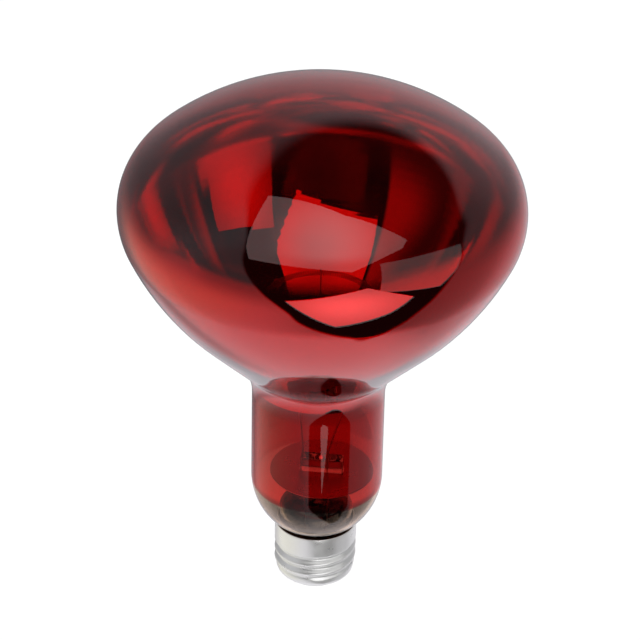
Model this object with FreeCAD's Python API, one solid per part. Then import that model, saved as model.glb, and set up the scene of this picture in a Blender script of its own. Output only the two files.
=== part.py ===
import FreeCAD, Part
import math
import os
from FreeCAD import Vector

# Infrared heat lamp bulb with a screw cap, in millimetres.
# The origin is the lowest point of the centre contact, on the lamp's axis.
# +Z runs up through the neck to the domed face. -Y is the front.

# Envelope: one blown piece of glass, listed from the face down
head_radius = 62.5
glass_wall = 0.9
shoulder_radius = 21.34
shoulder_turn = 49.0
cheek_radius = 23.1
cheek_turn = 24.1
back_radius = 96.0
back_turn = 20.3
throat_radius = 19.0
neck_radius = 20.94
neck_length = 30.62
bowl_radius = 22.3
waist_step = 1.85
seal_clearance = 0.75
seal_length = 6.4
waist_below_rim = 3.0

# Mirror film inside the head, from the shoulder down into the throat
film_gap = 0.05
film_thickness = 0.12
film_above_equator = 12.0
film_throat_turn = 30.0

# Cap, measured up from the lowest point
solder_height = 0.7
contact_plate = 1.5
shell_top = 25.0
shell_wall = 0.3
thread_crest_radius = 13.12
thread_depth = 1.07
thread_pitch = 3.62
thread_start = 7.9
thread_fade = 2.4
thread_first_turn = 0.845
collar_height = 5.7
collar_step = 0.03
foot_step = 0.62
curl_radius = 2.6
curl_turn = 80.0
rim_round = 0.12

# Cement between the envelope and the shell
cement_height = 2.7

# Insulator and centre contact
insulator_gap = 0.05
insulator_hole_radius = 1.3
insulator_rim_wall = 2.9
insulator_dish_floor = 3.4
insulator_lip_drop = 0.5
insulator_foot_step = 0.6
contact_radius = 4.8
contact_edge_round = 0.4
eyelet_radius = 1.25
eyelet_wall = 0.45
eyelet_height = 3.4
solder_radius = 2.6
solder_flat_radius = 1.6
solder_bulge = 0.25
solder_bulge_height = 0.21

# Stem: flared skirt, tube and press, one piece of glass
stem_wall = 1.0
stem_rim_gap = 0.2
stem_rim_thickness = 1.0
skirt_rise = 6.5
skirt_flare_radius = 7.0
skirt_flare_turn = 35.0
skirt_shoulder_radius = 4.6
skirt_shoulder_turn = 110.0
skirt_foot_radius = 3.4
stem_tube_rise = 1.2
press_shift = 1.6
press_width = 13.8
press_depth = 4.8
press_blend = 4.6
press_height = 6.6
press_turn = -7.0
press_corner = 1.6

# Exhaust tube
exhaust_radius = 2.2
exhaust_wall = 0.8
exhaust_tip_flat = 0.44
exhaust_tip_drop = 2.0
exhaust_hole_radius = 1.1
exhaust_hole_rise = 1.8

# Wires
lead_radius = 0.4
seal_wire_radius = 0.25
outer_lead_radius = 0.25
left_lead_inset = 0.7
lead_spacing = 8.0
lead_embed = 3.9
lead_bend = 3.0
outer_lead_bend = 1.2
outer_lead_drop = 2.5
outer_lead_knee = 1.5
left_lead_lean = -1.1
right_lead_lean = 4.4
lead_mouth_drop = 7.2
lead_head_x = 9.5

# Heat shield disc across the neck
disc_clearance = 1.94
disc_thickness = 0.5
disc_edge_round = 0.15
disc_above_tube = 6.2
slot_clearance = 0.2
vent_radius = 1.6
vent_x = 7.1
vent_y = 6.4

# Filament and its supports
filament_drop = 33.2
filament_ring_radius = 17.0
coil_radius = 0.9
support_radius = 0.2
loop_clearance = 0.1
support_angles = (-15.0, 37.5, 90.0, 142.5, 195.0)
support_foot_spacing = 3.2
support_bend = 2.0
support_rise = 4.0
bead_radius = 2.2
bead_overhang = 3.0
bead_drop = 56.0
bead_end_round = 1.0
wire_embed = 1.5

# Side solder
side_solder_angle = 60.0
side_solder_radius = 0.45
side_lead_end_drop = 0.3

# Radii that follow from the cap and the neck
thread_root_radius = thread_crest_radius - thread_depth
collar_radius = thread_crest_radius + collar_step
shell_foot_radius = thread_crest_radius - foot_step
insulator_dish_radius = shell_foot_radius - insulator_rim_wall
seal_radius = thread_root_radius - shell_wall - seal_clearance
bowl_end_radius = seal_radius + waist_step
side_joint_radius = collar_radius - shell_wall - outer_lead_radius
stem_rim_radius = seal_radius - glass_wall - stem_rim_gap
disc_radius = neck_radius - glass_wall - press_shift - disc_clearance
left_lead_x = press_shift - press_width / 2 + left_lead_inset
right_lead_x = left_lead_x + lead_spacing
bead_length = 2 * (lead_head_x + bead_overhang)

RUN_SHARE = 0.45
STRAIGHT = 0.01
ROUND_SIDE_ANGLE = 8.0
AXIS = Vector(0, 0, 1)
ORIGIN = Vector(0, 0, 0)


def walk(start, heading, moves, offset=0.0):
    """Edges of an outline in the X-Z plane, made of straight runs and tangent arcs.

    heading is in degrees from +X towards +Z. Each move is ("line", length) or
    ("arc", radius, turn), with turn positive to the left. offset moves the whole
    outline to the right of its heading, as a wall's inner face follows its outer one.
    """
    angle = math.radians(heading)
    right = Vector(math.sin(angle), 0, -math.cos(angle))
    point = Vector(start[0], 0, start[1]) + right * offset
    edges = []
    for move in moves:
        ahead = Vector(math.cos(angle), 0, math.sin(angle))
        left = Vector(-math.sin(angle), 0, math.cos(angle))
        if move[0] == "line":
            target = point + ahead * move[1]
            edges.append(Part.LineSegment(point, target).toShape())
        else:
            turn = math.radians(move[2])
            side = 1.0 if turn > 0 else -1.0
            radius = move[1] + side * offset
            centre = point + left * (side * radius)
            middle = centre - turned(left, turn / 2) * (side * radius)
            target = centre - turned(left, turn) * (side * radius)
            edges.append(Part.Arc(point, middle, target).toShape())
            angle += turn
        point = target
    return edges, point


def turned(vector, angle):
    """A vector of the X-Z plane turned by an angle, from +X towards +Z."""
    c = math.cos(angle)
    s = math.sin(angle)
    return Vector(vector.x * c - vector.z * s, 0, vector.x * s + vector.z * c)


def at(radius, height):
    """A point of the X-Z plane."""
    return Vector(radius, 0, height)


def flat_direction(angle):
    """The unit vector at an angle in degrees from +X towards +Y."""
    return Vector(math.cos(math.radians(angle)), math.sin(math.radians(angle)), 0)


def segment(start, end):
    return Part.LineSegment(start, end).toShape()


def spun(edges):
    """The solid swept by a closed outline as it turns about the lamp's axis."""
    return Part.Face(Part.Wire(edges)).revolve(ORIGIN, AXIS, 360)


def spun_points(points):
    """The solid of revolution of a closed polygon of (radius, height) corners."""
    corners = [at(radius, height) for radius, height in points]
    return Part.Face(Part.makePolygon(corners + corners[:1])).revolve(ORIGIN, AXIS, 360)


def wire_route(points, bend):
    """Straight runs between points, joined by tangent arcs of about the bend radius."""
    edges = []
    start = points[0]
    for before, corner, after in zip(points, points[1:], points[2:]):
        incoming = (corner - before).normalize()
        outgoing = (after - corner).normalize()
        turn = incoming.getAngle(outgoing)
        if turn < STRAIGHT:
            continue
        room = RUN_SHARE * min((corner - before).Length, (after - corner).Length)
        reach = min(bend * math.tan(turn / 2), room)
        radius = reach / math.tan(turn / 2)
        inward = (outgoing - incoming).normalize()
        arc_start = corner - incoming * reach
        arc_end = corner + outgoing * reach
        centre = corner + inward * (radius / math.cos(turn / 2))
        edges.append(segment(start, arc_start))
        edges.append(Part.Arc(arc_start, centre - inward * radius, arc_end).toShape())
        start = arc_end
    edges.append(segment(start, points[-1]))
    return edges


def bent_wire(points, radius, bend):
    """A round wire along a route of straight runs and bends."""
    heading = (points[1] - points[0]).normalize()
    section = Part.Wire(Part.Circle(points[0], heading, radius).toShape())
    return Part.Wire(wire_route(points, bend)).makePipeShell([section], True, False)


def ring_of_eight(corners, sides, centre, height):
    """A closed outline parallel to the X-Y plane, of four corner arcs and four sides.

    corners and sides give (start, middle, end) for each quarter turn, from +X towards +Y;
    a side without a middle is straight. The outline is turned as the press is.
    """
    place = Vector(centre, 0, height)
    edges = []
    for (start, middle, end), (flat_start, flat_middle, flat_end) in zip(corners, sides):
        edges.append(Part.Arc(place + start, place + middle, place + end).toShape())
        if flat_middle is None:
            edges.append(segment(place + flat_start, place + flat_end))
        else:
            edges.append(Part.Arc(place + flat_start, place + flat_middle, place + flat_end).toShape())
    wire = Part.Wire(edges)
    wire.rotate(place, AXIS, press_turn)
    return wire


def rounded_plate(width, depth, corner, centre, height):
    """The press's section: a flat plate with round corners."""
    x = width / 2 - corner
    y = depth / 2 - corner
    corners = []
    for quarter, (sx, sy) in enumerate(((1, 1), (-1, 1), (-1, -1), (1, -1))):
        hub = Vector(sx * x, sy * y, 0)
        arc = [hub + flat_direction(90 * quarter + step) * corner for step in (0, 45, 90)]
        corners.append(arc)
    sides = [(arc[2], None, after[0]) for arc, after in zip(corners, corners[1:] + corners[:1])]
    return ring_of_eight(corners, sides, centre, height)


def round_section(radius, height):
    """The stem tube's section, a circle cut into the same eight runs as the press's plate."""
    corners = []
    sides = []
    for quarter in range(4):
        low = 90 * quarter + ROUND_SIDE_ANGLE
        high = 90 * quarter + 90 - ROUND_SIDE_ANGLE
        corners.append([flat_direction(a) * radius for a in (low, (low + high) / 2, high)])
        angles = (high, 90 * quarter + 90, high + 2 * ROUND_SIDE_ANGLE)
        sides.append([flat_direction(angle) * radius for angle in angles])
    return ring_of_eight(corners, sides, 0, height)


# Envelope
# The crown arc has its centre on the axis, so its radius follows from the shoulder.
shoulder_top_radius = head_radius - shoulder_radius * (1 - math.cos(math.radians(shoulder_turn)))
crown_turn = 90.0 - shoulder_turn
crown_radius = shoulder_top_radius / math.sin(math.radians(crown_turn))
cone_angle = math.radians(cheek_turn + back_turn)
back_end_radius = (
    head_radius
    - cheek_radius * (1 - math.cos(math.radians(cheek_turn)))
    - back_radius * (math.cos(math.radians(cheek_turn)) - math.cos(cone_angle))
)
throat_drop = throat_radius * (1 - math.cos(cone_angle))
cone_length = (back_end_radius - throat_drop - neck_radius) / math.sin(cone_angle)
bowl_turn = math.degrees(math.acos(1 - (neck_radius - bowl_end_radius) / bowl_radius))
waist_radius = (bowl_end_radius - seal_radius) / (1 - math.cos(math.radians(bowl_turn)))

FACE = [("arc", crown_radius, -crown_turn), ("arc", shoulder_radius, -shoulder_turn)]
BACK = [
    ("arc", cheek_radius, -cheek_turn),
    ("arc", back_radius, -back_turn),
    ("line", cone_length),
]
THROAT = [("arc", throat_radius, cheek_turn + back_turn)]
NECK = [
    ("line", neck_length),
    ("arc", bowl_radius, -bowl_turn),
    ("arc", waist_radius, bowl_turn),
    ("line", seal_length),
]

# The lower end of the envelope is sealed to the stem inside the cap.
seal_height = shell_top - waist_below_rim - seal_length
outline_end = walk((0, 0), 0, FACE + BACK + THROAT + NECK)[1]
apex_height = seal_height - outline_end.z
equator_height = apex_height + walk((0, 0), 0, FACE)[1].z
neck_top_height = apex_height + walk((0, 0), 0, FACE + BACK + THROAT)[1].z


def glass_envelope():
    """Blown glass of even wall: domed face, head, throat, neck, bowl and sealed end."""
    outline = FACE + BACK + THROAT + NECK
    outer, outer_end = walk((0, apex_height), 0, outline)
    inner, inner_end = walk((0, apex_height), 0, outline, glass_wall)
    sealed_edge = segment(outer_end, inner_end)
    on_axis = segment(at(0, apex_height), at(0, apex_height - glass_wall))
    return spun(outer + [sealed_edge] + inner[::-1] + [on_axis])


def mirror_film():
    """Aluminium deposited on the glass from above the equator into the throat."""
    lined = FACE + BACK + [("arc", throat_radius, film_throat_turn)]
    outside = glass_wall + film_gap
    inside = outside + film_thickness
    outer, outer_end = walk((0, apex_height), 0, lined, outside)
    inner, inner_end = walk((0, apex_height), 0, lined, inside)
    on_axis = segment(at(0, apex_height - outside), at(0, apex_height - inside))
    band = spun(outer + [segment(outer_end, inner_end)] + inner[::-1] + [on_axis])
    low = outer_end.z - throat_radius
    high = equator_height + film_above_equator
    return band.common(Part.makeCylinder(head_radius, high - low, at(0, low)))


# Stem
skirt_fall = skirt_shoulder_turn - skirt_flare_turn
SKIRT = [
    ("line", skirt_rise),
    ("arc", skirt_flare_radius, -skirt_flare_turn),
    ("arc", skirt_shoulder_radius, skirt_shoulder_turn),
    ("arc", skirt_foot_radius, -skirt_fall),
    ("line", stem_tube_rise),
]
stem_tube_end = walk((stem_rim_radius, seal_height), 90, SKIRT)[1]
stem_tube_radius = stem_tube_end.x
stem_tube_top = stem_tube_end.z
outer_lead_x = (stem_tube_radius - stem_wall + exhaust_radius) / 2
exhaust_tip_height = seal_height - exhaust_tip_drop
press_bottom = stem_tube_top + press_blend
press_top = press_bottom + press_height
cavity_top = stem_tube_top + stem_wall
disc_height = stem_tube_top + disc_above_tube
lead_foot = press_top - lead_embed


def stem_blank():
    """Stem glass before its wires are set in: rim, skirt, tube and flattened press."""
    outer, outer_end = walk((stem_rim_radius, seal_height), 90, SKIRT)
    body = spun(outer + [
        segment(outer_end, at(0, stem_tube_top)),
        segment(at(0, stem_tube_top), at(0, seal_height - stem_rim_thickness)),
        segment(at(0, seal_height - stem_rim_thickness), at(seal_radius, seal_height - stem_rim_thickness)),
        segment(at(seal_radius, seal_height - stem_rim_thickness), at(seal_radius, seal_height)),
        segment(at(seal_radius, seal_height), at(stem_rim_radius, seal_height)),
    ])
    round_end = round_section(stem_tube_radius, stem_tube_top)
    flat_end = rounded_plate(press_width, press_depth, press_corner, press_shift, press_bottom)
    blend = Part.makeLoft([round_end, flat_end], True, False)
    press = Part.Face(flat_end).extrude(Vector(0, 0, press_height))
    top_edges = [e for e in press.Edges if e.BoundBox.ZMin > press_top - STRAIGHT]
    press = press.makeFillet(press_corner / 2, top_edges)
    hollow, hollow_end = walk((stem_rim_radius, seal_height), 90, SKIRT, -stem_wall)
    hollow_foot = at(hollow[0].Vertexes[0].X, seal_height - stem_rim_thickness)
    cavity = spun([segment(hollow_foot, hollow[0].Vertexes[0].Point)] + hollow + [
        segment(hollow_end, at(hollow_end.x, cavity_top)),
        segment(at(hollow_end.x, cavity_top), at(0, cavity_top)),
        segment(at(0, cavity_top), at(0, seal_height - stem_rim_thickness)),
        segment(at(0, seal_height - stem_rim_thickness), hollow_foot),
    ])
    return body.fuse([blend, press]).removeSplitter().cut(cavity)


def press_point(x, height):
    """A point on the press's middle plane, which is turned a little about the axis."""
    return Vector(x, (x - press_shift) * math.tan(math.radians(press_turn)), height)


def exhaust_channel():
    """The hole blown from the exhaust tube's mouth through the back of the stem."""
    bore = exhaust_radius - exhaust_wall
    rise = Part.makeCylinder(bore, exhaust_hole_rise, at(0, cavity_top))
    out = Part.makeCylinder(exhaust_hole_radius, stem_tube_radius + press_depth,
                            at(0, cavity_top + exhaust_hole_rise), Vector(0, 1, 0))
    return rise.fuse(out)


def exhaust_tube():
    """Thin tube from the stem down into the cap, closed where it was tipped off."""
    bore = exhaust_radius - exhaust_wall
    length = cavity_top - exhaust_tip_height
    tube = Part.makeCylinder(exhaust_radius, length, at(0, exhaust_tip_height))
    tip = [e for e in tube.Edges if e.BoundBox.ZMax < exhaust_tip_height + STRAIGHT]
    tube = tube.makeFillet(exhaust_radius - exhaust_tip_flat, tip)
    return tube.cut(Part.makeCylinder(bore, length, at(0, exhaust_tip_height + 2 * exhaust_wall)))


# Filament ring and the loops that hold it
filament_height = equator_height - filament_drop
loop_radius = coil_radius + loop_clearance + support_radius
lead_loop_radius = coil_radius + loop_clearance + lead_radius
end_angle = math.degrees(math.asin(lead_head_x / filament_ring_radius))
bead_height = equator_height - bead_drop


def on_ring(angle, drop=0.0):
    """A point of the filament's ring, or below it, at an angle from +X towards +Y."""
    return flat_direction(angle) * filament_ring_radius + Vector(0, 0, filament_height - drop)


def filament():
    """The coil's outer form: an open ring whose gap faces the front."""
    first = -90 + end_angle
    sweep = 360 - 2 * end_angle
    centre = Vector(0, 0, filament_height)
    ring = Part.makeTorus(filament_ring_radius, coil_radius, centre, AXIS, 0, 360, sweep)
    ring.rotate(ORIGIN, AXIS, first)
    return ring


def inner_lead(x, lean, side):
    """Lead from the press through the bead to a loop round one end of the filament."""
    angle = -90 + side * end_angle
    end = on_ring(angle, lead_loop_radius)
    neck_mouth = neck_top_height - lead_mouth_drop
    points = [
        press_point(x, lead_foot),
        press_point(x, press_top + lead_embed / 2),
        Vector(x + lean, 0, neck_mouth),
        Vector(side * lead_head_x, 0, bead_height - 2 * bead_radius),
        Vector(side * lead_head_x, 0, bead_height + 3 * bead_radius),
        Vector(end.x, end.y, end.z - support_rise),
        end,
    ]
    lead = bent_wire(points, lead_radius, lead_bend)
    loop = Part.makeTorus(lead_loop_radius, lead_radius, on_ring(angle), flat_direction(angle + 90))
    return lead.fuse(loop).removeSplitter()


def support(index, angle):
    """Thin wire rooted in the bead, with a loop round the coil at its upper end."""
    middle = (len(support_angles) - 1) / 2
    foot_x = (middle - index) * support_foot_spacing
    end = on_ring(angle, loop_radius)
    points = [
        Vector(foot_x, 0, bead_height + bead_radius - wire_embed),
        Vector(foot_x, 0, bead_height + bead_radius + 2 * wire_embed),
        Vector(end.x, end.y, end.z - support_rise),
        end,
    ]
    wire = bent_wire(points, support_radius, support_bend)
    loop = Part.makeTorus(loop_radius, support_radius, on_ring(angle), flat_direction(angle + 90))
    return wire.fuse(loop).removeSplitter()


def bead_bar():
    """Glass rod fused across both leads, which carries the supports."""
    left_end = Vector(-bead_length / 2, 0, bead_height)
    bar = Part.makeCylinder(bead_radius, bead_length, left_end, Vector(1, 0, 0))
    rims = [e for e in bar.Edges if e.BoundBox.XLength < STRAIGHT]
    return bar.makeFillet(bead_end_round, rims)


def seal_wire(x, side):
    """Short wire sealed in the press, from the inner lead down to the outer one."""
    top = press_point(x, lead_foot)
    foot = Vector(side * outer_lead_x, 0, cavity_top)
    straight = Vector(0, 0, 4 * seal_wire_radius)
    return bent_wire([foot, foot + straight, top - straight, top], seal_wire_radius, lead_bend)


def centre_lead():
    """Outer lead that runs down past the exhaust tube and into the centre contact."""
    points = [
        Vector(-outer_lead_x, 0, cavity_top),
        Vector(-outer_lead_x, 0, exhaust_tip_height - outer_lead_drop),
        Vector(0, 0, thread_start - outer_lead_knee),
        Vector(0, 0, solder_height),
    ]
    return bent_wire(points, outer_lead_radius, outer_lead_bend)


def side_lead():
    """Outer lead that turns up between the sealed neck and the shell to the rim."""
    out = flat_direction(side_solder_angle)
    run_radius = (seal_radius + thread_root_radius - shell_wall) / 2
    below_seal = seal_height - stem_rim_thickness - outer_lead_drop
    points = [
        Vector(outer_lead_x, 0, cavity_top),
        Vector(outer_lead_x, 0, below_seal),
        out * run_radius + Vector(0, 0, below_seal),
        out * run_radius + Vector(0, 0, shell_top - collar_height / 2),
        out * side_joint_radius + Vector(0, 0, shell_top - side_lead_end_drop),
    ]
    return bent_wire(points, outer_lead_radius, outer_lead_bend)


def side_solder():
    """Bead of solder that joins the end of the side lead to the shell's rim."""
    place = flat_direction(side_solder_angle) * side_joint_radius + Vector(0, 0, shell_top)
    return Part.makeSphere(side_solder_radius, place)


def heat_shield_disc():
    """Thin disc round the press, with a slot for it and a small vent hole."""
    disc = Part.makeCylinder(disc_radius, disc_thickness, Vector(press_shift, 0, disc_height))
    rims = [e for e in disc.Edges if e.BoundBox.ZLength < STRAIGHT]
    disc = disc.makeFillet(disc_edge_round, rims)
    slot_width = press_width + 2 * slot_clearance
    slot_depth = press_depth + 2 * slot_clearance
    below = disc_height - disc_thickness
    through = 3 * disc_thickness
    outline = rounded_plate(slot_width, slot_depth, press_corner, press_shift, below)
    slot = Part.Face(outline).extrude(Vector(0, 0, through))
    vent = Part.makeCylinder(vent_radius, through, Vector(vent_x, vent_y, below))
    return disc.cut(slot).cut(vent)


# Screw shell
thread_mean = (thread_crest_radius + thread_root_radius) / 2
thread_wave = (thread_crest_radius - thread_root_radius) / 2
thread_end = shell_top - collar_height
THREAD_COLUMNS = 16
THREAD_ROWS = 32
JOIN_TOLERANCE = 0.001


def thread_radius(turn, height):
    """Outer radius of the rolled thread: a wave that climbs one pitch to the right each turn.

    The wave dies away over the fade length at both ends, into the collar and the foot.
    """
    rise = min(max((height - thread_start) / thread_fade, 0), 1)
    fall = min(max((thread_end - height) / thread_fade, 0), 1)
    low = rise * rise * (3 - 2 * rise)
    high = fall * fall * (3 - 2 * fall)
    climb = (height - thread_start) / thread_pitch + thread_first_turn
    wave = thread_mean + thread_wave * math.cos(2 * math.pi * (climb - turn))
    plain = shell_foot_radius if height < (thread_start + thread_end) / 2 else collar_radius
    share = low * high
    return plain + (wave - plain) * share


def thread_face(inset, first, last):
    """The rolled thread from one turn share to another as a smooth face, moved in by inset."""
    grid = []
    for i in range(THREAD_COLUMNS + 1):
        turn = first + (last - first) * i / THREAD_COLUMNS
        angle = 2 * math.pi * turn
        row = []
        for j in range(THREAD_ROWS + 1):
            height = thread_start + (thread_end - thread_start) * j / THREAD_ROWS
            radius = thread_radius(turn, height) - inset
            row.append(Vector(radius * math.cos(angle), radius * math.sin(angle), height))
        grid.append(row)
    surface = Part.BSplineSurface()
    surface.interpolate(grid)
    return surface.toShape()


def screw_shell():
    """Drawn and rolled sheet: plain collar, knuckle thread and curled-in lower end."""
    inner_collar = collar_radius - shell_wall
    round_foot = shell_top - rim_round
    outer_rim = walk((collar_radius, round_foot), 90, [("arc", rim_round, 90)])[0]
    inner_rim = walk((inner_collar + rim_round, shell_top), 180, [("arc", rim_round, 90)])[0]
    collar = [
        segment(at(collar_radius, thread_end), at(collar_radius, round_foot)),
        outer_rim[0],
        segment(at(collar_radius - rim_round, shell_top), at(inner_collar + rim_round, shell_top)),
        inner_rim[0],
        segment(at(inner_collar, round_foot), at(inner_collar, thread_end)),
    ]
    foot = (shell_foot_radius, thread_start)
    turn_in = [("arc", curl_radius, -curl_turn)]
    outer_curl, outer_end = walk(foot, -90, turn_in)
    inner_curl, inner_end = walk(foot, -90, turn_in, shell_wall)
    curl = outer_curl + [segment(outer_end, inner_end)] + inner_curl
    faces = []
    for half in (0, 1):
        faces += [thread_face(inset, half / 2, half / 2 + 0.5) for inset in (0, shell_wall)]
        for edge in collar + curl:
            half_edge = edge.copy()
            half_edge.rotate(ORIGIN, AXIS, 180 * half)
            faces += half_edge.revolve(ORIGIN, AXIS, 180).Faces
    joined = faces[0].generalFuse(faces[1:], JOIN_TOLERANCE)[0]
    shell = Part.Solid(Part.Shell(joined.Faces))
    shell.fix(JOIN_TOLERANCE, JOIN_TOLERANCE, JOIN_TOLERANCE)
    return shell


def cap_cement():
    """Ring of cement between the sealed neck and the collar."""
    top = seal_height + seal_length
    outer = collar_radius - shell_wall
    foot = max(top - cement_height, thread_end)
    return spun_points([(seal_radius, foot), (outer, foot), (outer, top), (seal_radius, top)])


def base_insulator():
    """Black glass poured in the curled end, dished inside and coned outside."""
    start = (shell_foot_radius, thread_start)
    seat, seat_end = walk(start, -90, [("arc", curl_radius, -curl_turn)], shell_wall + insulator_gap)
    seat_start = seat[0].Vertexes[0].Point
    lip = at(seat_end.x, seat_end.z - insulator_lip_drop - shell_wall)
    plate_top = solder_height + contact_plate
    foot_radius = contact_radius + insulator_foot_step
    floor = plate_top + insulator_dish_floor
    return spun(seat + [
        segment(seat_end, lip),
        segment(lip, at(foot_radius, plate_top)),
        segment(at(foot_radius, plate_top), at(insulator_hole_radius, plate_top)),
        segment(at(insulator_hole_radius, plate_top), at(insulator_hole_radius, floor)),
        segment(at(insulator_hole_radius, floor), at(insulator_dish_radius / 2, floor)),
        segment(at(insulator_dish_radius / 2, floor), at(insulator_dish_radius, thread_start)),
        segment(at(insulator_dish_radius, thread_start), seat_start),
    ])


def centre_contact():
    """Brass contact plate with the eyelet that clenches it to the insulator."""
    top = solder_height + contact_plate
    bore = eyelet_radius - eyelet_wall
    plate = Part.makeCylinder(contact_radius, contact_plate, at(0, solder_height))
    foot = [e for e in plate.Edges if e.BoundBox.ZMax < solder_height + STRAIGHT]
    plate = plate.makeFillet(contact_edge_round, foot)
    eyelet = Part.makeCylinder(eyelet_radius, eyelet_height, at(0, top))
    hole = Part.makeCylinder(bore, contact_plate + eyelet_height, at(0, solder_height))
    return plate.fuse(eyelet).removeSplitter().cut(hole)


def contact_solder():
    """Solder mound on the contact, worn flat where the holder's spring bears on it."""
    bulge = at((solder_radius + solder_flat_radius) / 2 + solder_bulge, solder_bulge_height)
    return spun([
        segment(at(0, 0), at(solder_flat_radius, 0)),
        Part.Arc(at(solder_flat_radius, 0), bulge, at(solder_radius, solder_height)).toShape(),
        segment(at(solder_radius, solder_height), at(0, solder_height)),
        segment(at(0, solder_height), at(0, 0)),
    ])


def build():
    """Every sub-part by name, with each wire's seat cut where it is sealed in."""
    parts = {
        "glass_envelope": glass_envelope(),
        "mirror_film": mirror_film(),
        "exhaust_tube": exhaust_tube(),
        "heat_shield_disc": heat_shield_disc(),
        "lead_inner_left": inner_lead(left_lead_x, left_lead_lean, -1),
        "lead_inner_right": inner_lead(right_lead_x, right_lead_lean, 1),
        "seal_wire_left": seal_wire(left_lead_x, -1),
        "seal_wire_right": seal_wire(right_lead_x, 1),
        "lead_outer_centre": centre_lead(),
        "lead_outer_side": side_lead(),
        "filament_coil": filament(),
        "screw_shell": screw_shell(),
        "base_insulator": base_insulator(),
        "centre_contact": centre_contact(),
        "contact_solder": contact_solder(),
    }
    supports = []
    for index, angle in enumerate(support_angles):
        wire = support(index, angle)
        supports.append(wire)
        parts["filament_support_%d" % (index + 1)] = wire
    sealed_in = [parts["lead_inner_left"], parts["lead_inner_right"],
                 parts["seal_wire_left"], parts["seal_wire_right"]]
    parts["stem_glass"] = stem_blank().cut(exhaust_channel()).cut(sealed_in)
    parts["bead_bar"] = bead_bar().cut([parts["lead_inner_left"], parts["lead_inner_right"]] + supports)
    parts["cap_cement"] = cap_cement().cut(parts["lead_outer_side"])
    rim_fit = [parts["screw_shell"], parts["lead_outer_side"]]
    parts["side_solder"] = side_solder().cut(rim_fit)
    return parts


os.makedirs("parts", exist_ok=True)
for name, shape in build().items():
    shape.exportStep("parts/%s.step" % name)
    box = shape.BoundBox
    print("%-20s solids %d valid %s volume %9.2f  x %.2f %.2f  y %.2f %.2f  z %.2f %.2f" % (
        name, len(shape.Solids), shape.isValid(), shape.Volume,
        box.XMin, box.XMax, box.YMin, box.YMax, box.ZMin, box.ZMax))
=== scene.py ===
import math

import bpy
import numpy as np
from bpy.props import FloatProperty, FloatVectorProperty, IntProperty, PointerProperty
from mathutils import Euler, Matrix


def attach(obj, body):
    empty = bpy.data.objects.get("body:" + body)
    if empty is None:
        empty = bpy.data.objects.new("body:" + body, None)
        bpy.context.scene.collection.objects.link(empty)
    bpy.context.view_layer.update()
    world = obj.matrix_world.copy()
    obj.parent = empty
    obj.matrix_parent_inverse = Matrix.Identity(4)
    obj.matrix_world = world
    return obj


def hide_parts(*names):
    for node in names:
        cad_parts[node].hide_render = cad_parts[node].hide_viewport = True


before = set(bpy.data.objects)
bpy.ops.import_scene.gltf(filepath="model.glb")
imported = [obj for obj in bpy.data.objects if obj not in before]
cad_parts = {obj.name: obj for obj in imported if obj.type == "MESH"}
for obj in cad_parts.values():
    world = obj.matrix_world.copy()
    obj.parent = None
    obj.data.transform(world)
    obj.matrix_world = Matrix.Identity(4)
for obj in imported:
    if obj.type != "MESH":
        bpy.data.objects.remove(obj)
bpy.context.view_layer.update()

bl_info = {
    "name": "Red reflector heat lamp",
    "version": (1, 0, 0),
    "blender": (4, 5, 0),
    "location": "3D View > Sidebar > Heat lamp",
    "description": "Glass, mirror, filament, cap and studio of a red reflector heat lamp",
    "category": "Object",
}

MM = 0.001
BLACK = (0.0, 0.0, 0.0)
WHITE = (1.0, 1.0, 1.0)


def length(description, default):
    """A size in metres, given here in millimetres."""
    return FloatProperty(description=description, default=default * MM, min=0.0, max=1.0,
                         precision=5, subtype="DISTANCE", unit="LENGTH")


def degrees(description, default):
    """An angle in radians, given here in degrees."""
    return FloatProperty(description=description, default=math.radians(default),
                         subtype="ANGLE", unit="ROTATION")


def amount(description, default, high=100.0):
    return FloatProperty(description=description, default=default, min=0.0, max=high, precision=3)


def colour(description, default):
    return FloatVectorProperty(description=description, default=default, size=3,
                               min=0.0, max=1.0, subtype="COLOR")


class HeatLampGlassSizes(bpy.types.PropertyGroup):
    """Outline of the blown envelope and of the mirror inside it."""

    head_radius: length("Widest radius of the head", 62.5)
    wall: length("Thickness of the blown glass", 0.9)
    shoulder_radius: length("Arc above the widest place", 21.34)
    shoulder_turn: degrees("Turn of the shoulder arc", 49.0)
    cheek_radius: length("Arc below the widest place", 23.1)
    cheek_turn: degrees("Turn of the cheek arc", 24.1)
    back_radius: length("Long arc down the back of the head", 96.0)
    back_turn: degrees("Turn of the back arc", 20.3)
    throat_radius: length("Hollow arc between head and neck", 19.0)
    neck_radius: length("Radius of the straight neck", 20.94)
    neck_length: length("Length of the straight neck", 30.62)
    bowl_radius: length("Arc that rounds the lower end", 22.3)
    bowl_end_radius: length("Radius where the lower end turns hollow", 12.85)
    seal_radius: length("Radius of the sealed end in the cap", 11.0)
    seal_length: length("Length of the sealed end", 6.4)
    seal_height: length("Height of the glass's lower edge", 15.6)
    film_gap: length("Play between glass and mirror, for clean reflections", 0.05)
    film_thickness: length("Thickness of the mirror film", 0.12)
    film_above_equator: length("Upper edge of the film above the widest place", 12.0)
    film_throat_turn: degrees("How far the film goes round the throat", 30.0)
    columns: IntProperty(description="Faces round the lamp", default=240, min=24, max=400)


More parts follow.
